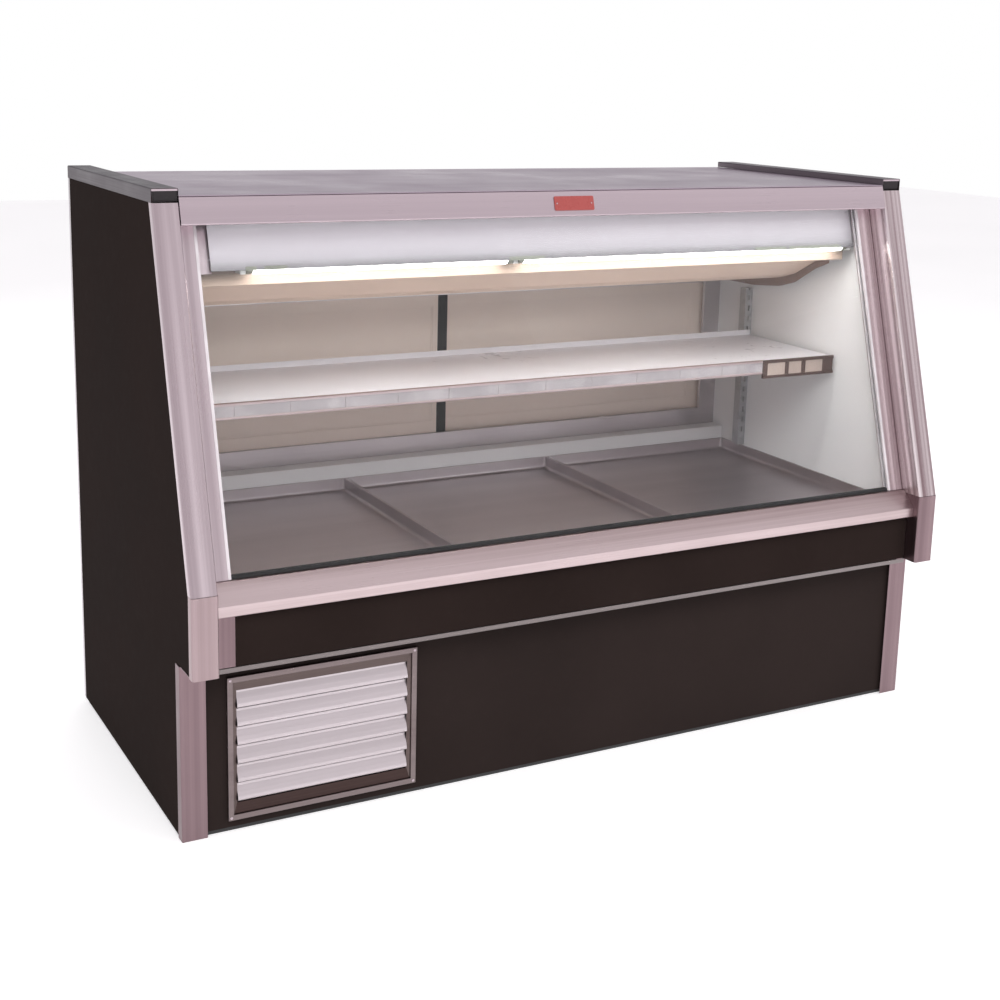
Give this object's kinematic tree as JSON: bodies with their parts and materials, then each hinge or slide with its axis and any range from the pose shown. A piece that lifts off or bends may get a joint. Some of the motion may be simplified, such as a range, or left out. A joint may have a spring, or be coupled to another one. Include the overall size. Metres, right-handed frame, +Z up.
{
  "type": "refrigerated deli case",
  "caption": "Service deli case with a leaning front glass, black end panels, steel trim, a lit shelf inside, sliding rear doors and a louvred base grille.",
  "frame": {"origin": "on the floor, under the middle of the case's width and depth", "axes": "+X to the right end seen from the front, +Y to the rear doors, -Y the front glass, +Z up"},
  "size_m": [1.803, 0.864, 1.245],
  "materials": {
    "brushed_steel": "satin brushed stainless steel",
    "black_panel": "black painted steel sheet",
    "louvre_silver": "silver louvre blades",
    "white_liner": "white skin over foam",
    "white_enamel": "white enamelled steel sheet",
    "glass": "clear tempered glass",
    "lamp": "lit lamp tube",
    "grey_plastic": "moulded lamp holder",
    "galvanised": "galvanised steel sheet",
    "door_panel": "warm grey insulated panel",
    "coil_fins": "plain fins",
    "black_metal": "black paint",
    "black_plastic": "moulded plastic"
  },
  "bodies": {
    "cabinet": {"base_frame": "black_metal", "base_front_panel": "black_panel", "grille_frame": "brushed_steel", "grille_louvre_1": "louvre_silver", "grille_louvre_2": "louvre_silver", "grille_louvre_3": "louvre_silver", "grille_louvre_4": "louvre_silver", "grille_louvre_5": "louvre_silver", "grille_louvre_6": "louvre_silver", "end_panel_left": "black_panel", "end_panel_right": "black_panel", "base_corner_trim_left": "brushed_steel", "base_corner_trim_right": "brushed_steel", "end_post_left": "brushed_steel", "end_post_right": "brushed_steel", "lower_post_left": "brushed_steel", "lower_post_right": "brushed_steel", "top_cap_left": "brushed_steel", "top_cap_right": "brushed_steel", "top_fascia": "brushed_steel", "top_panel": "brushed_steel", "front_glass": "glass", "glass_channel_left": "brushed_steel", "glass_channel_right": "brushed_steel", "sill_rail": "brushed_steel", "front_apron": "black_panel", "apron_bottom_trim": "brushed_steel", "insulated_tub": "white_liner", "end_wall_left": "white_liner", "end_wall_right": "white_liner", "light_canopy": "white_enamel", "lamp_tube_left": "lamp", "lamp_tube_right": "lamp", "lamp_holder_left": "grey_plastic", "lamp_holder_centre": "grey_plastic", "lamp_holder_right": "grey_plastic", "shelf_panel": "white_enamel", "price_rail": "brushed_steel", "shelf_bracket_left": "galvanised", "shelf_bracket_right": "galvanised", "shelf_standard_left": "galvanised", "shelf_standard_right": "galvanised", "deck_pan_left": "brushed_steel", "deck_pan_centre": "brushed_steel", "deck_pan_right": "brushed_steel", "rear_door_frame": "brushed_steel", "rear_service_panel": "galvanised", "evaporator_coil": "coil_fins", "evaporator_motor": "black_metal", "compressor": "black_metal", "condenser_coil": "coil_fins", "fan_motor": "black_metal", "condensate_pan": "galvanised", "control_box": "black_metal"},
    "rear_door_left": {"rear_door_left": "door_panel"},
    "rear_door_right": {"rear_door_right": "door_panel"},
    "condenser_fan": {"condenser_fan": "black_metal"},
    "evaporator_fan": {"evaporator_fan": "black_plastic"},
    "thermostat_knob": {"thermostat_knob": "black_plastic"},
    "light_switch": {"light_switch": "black_plastic"}
  },
  "joints": [
    {"name": "rear_door_left_slide", "type": "slide", "parent": "cabinet", "child": "rear_door_left", "axis": [1, 0, 0], "range_m": [0, 0.785]},
    {"name": "rear_door_right_slide", "type": "slide", "parent": "cabinet", "child": "rear_door_right", "axis": [-1, 0, 0], "range_m": [0, 0.785]},
    {"name": "condenser_fan_spin", "type": "hinge", "parent": "cabinet", "child": "condenser_fan", "pos_m": [-0.605, -0.215, 0.175], "axis": [0, 1, 0], "continuous": true},
    {"name": "evaporator_fan_spin", "type": "hinge", "parent": "cabinet", "child": "evaporator_fan", "pos_m": [0, 0.338, 1.07], "axis": [0, 1, 0], "continuous": true},
    {"name": "thermostat_knob_turn", "type": "hinge", "parent": "cabinet", "child": "thermostat_knob", "pos_m": [0.62, 0.405, 0.19], "axis": [0, -1, 0], "range_deg": [0, 270]},
    {"name": "light_switch_rock", "type": "hinge", "parent": "cabinet", "child": "light_switch", "pos_m": [0.525, 0.408, 0.19], "axis": [-1, 0, 0], "range_deg": [0, 24]}
  ]
}
